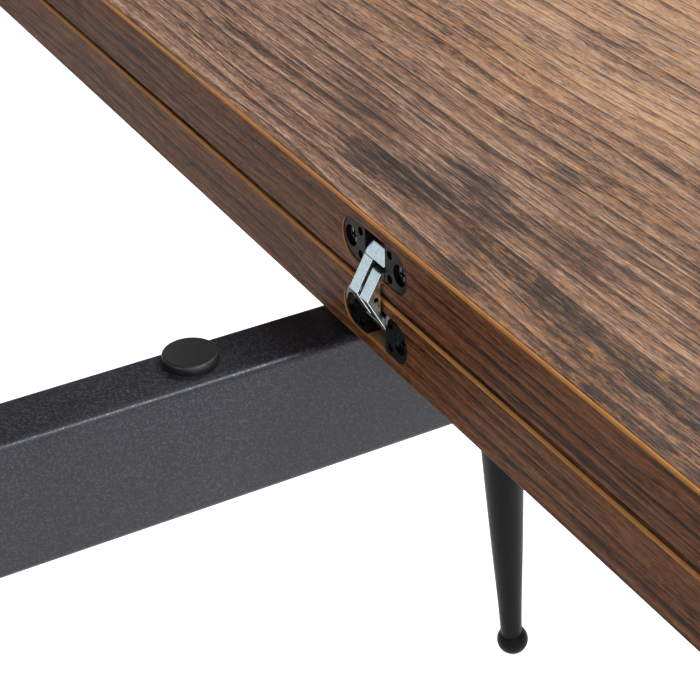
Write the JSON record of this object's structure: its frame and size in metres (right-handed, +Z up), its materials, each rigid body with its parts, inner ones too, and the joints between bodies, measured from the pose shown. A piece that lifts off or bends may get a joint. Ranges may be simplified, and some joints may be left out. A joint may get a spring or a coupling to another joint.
{
  "type": "extending table",
  "caption": "Dining table with a turning, fold-over top: two stacked wood-decor boards joined by concealed link hinges on a steel tube frame with splayed tapered legs",
  "frame": {"origin": "centre of the bounding box at floor level, with the top turned across the frame and still folded", "axes": "+Z up, +X along the frame's long rails from the exposed rails to the overhanging top, +Y along the fold line"},
  "size_m": [1.0256, 0.92, 0.75],
  "materials": {
    "powder_steel": "dark grey fine textured powder coat",
    "pad_rubber": "matt black",
    "slide_plastic": "natural low-friction plastic",
    "zinc_steel": "bright zinc plate",
    "black_wood": "black satin lacquer on wood",
    "foot_plastic": "black moulded plastic",
    "board_core": "raw fibreboard",
    "edge_band": "dark brown wood print edge band with an orange-brown body",
    "wood_decor": "rustic grey-brown wood decor, fine grain along the fold",
    "hinge_body_black": "gloss black",
    "hinge_body_bronze": "gunmetal sheen",
    "link_zinc": "pale zinc plate",
    "screw_black": "black oxide"
  },
  "bodies": {
    "base_frame": {"rail_near": "powder_steel", "rail_far": "powder_steel", "end_rail_left": "powder_steel", "end_rail_right": "powder_steel", "crossbar_left": "powder_steel", "crossbar_right": "powder_steel", "support_pads": "pad_rubber", "pivot_plate": "powder_steel", "swivel_slide_disc": "slide_plastic", "leg_plates": "powder_steel", "leg_studs": "zinc_steel", "leg_near_left": "black_wood", "leg_near_right": "black_wood", "leg_far_left": "black_wood", "leg_far_right": "black_wood", "foot_near_left": "foot_plastic", "foot_near_right": "foot_plastic", "foot_far_left": "foot_plastic", "foot_far_right": "foot_plastic"},
    "lower_board": {"lower_core": "board_core", "lower_edge_band": "edge_band", "lower_under_laminate": "wood_decor", "lower_decor_laminate": "wood_decor", "lower_hinge_bodies": "hinge_body_black", "lower_hinge_pins": "link_zinc", "lower_hinge_screws": "screw_black", "swivel_flange": "zinc_steel", "swivel_flange_screws": "zinc_steel", "swivel_washer": "zinc_steel", "swivel_nut": "zinc_steel", "swivel_stop_pin": "zinc_steel"},
    "folding_leaf": {"leaf_core": "board_core", "leaf_edge_band": "edge_band", "leaf_decor_laminate": "wood_decor", "leaf_outer_laminate": "wood_decor", "leaf_hinge_bodies": "hinge_body_bronze", "leaf_hinge_pins": "link_zinc", "leaf_hinge_screws": "screw_black"},
    "lower_links": {"lower_hinge_links": "link_zinc", "lower_link_pins": "link_zinc"},
    "leaf_links": {"leaf_hinge_links": "link_zinc", "leaf_link_pins": "link_zinc"}
  },
  "joints": [
    {"name": "top_swivel", "type": "hinge", "parent": "base_frame", "child": "lower_board", "pos_m": [0.06275, 0.15007, 0.6965], "axis": [0, 0, 1], "range_deg": [-90, 0]},
    {"name": "leaf_fold", "type": "hinge", "parent": "lower_board", "child": "folding_leaf", "pos_m": [-0.08732, 0, 0.725], "axis": [0, -1, 0], "range_deg": [0, 180]},
    {"name": "lower_link_turn", "type": "hinge", "parent": "lower_board", "child": "lower_links", "pos_m": [-0.08132, 0, 0.7176], "axis": [0, -1, 0], "range_deg": [0, 98.78]},
    {"name": "leaf_link_turn", "type": "hinge", "parent": "folding_leaf", "child": "leaf_links", "pos_m": [-0.08132, 0, 0.7324], "axis": [0, 1, 0], "range_deg": [0, 98.78]}
  ],
  "couplings": [
    {"joint": "lower_link_turn", "follows": "leaf_fold", "ratio": 0.5488},
    {"joint": "leaf_link_turn", "follows": "leaf_fold", "ratio": 0.5488}
  ]
}
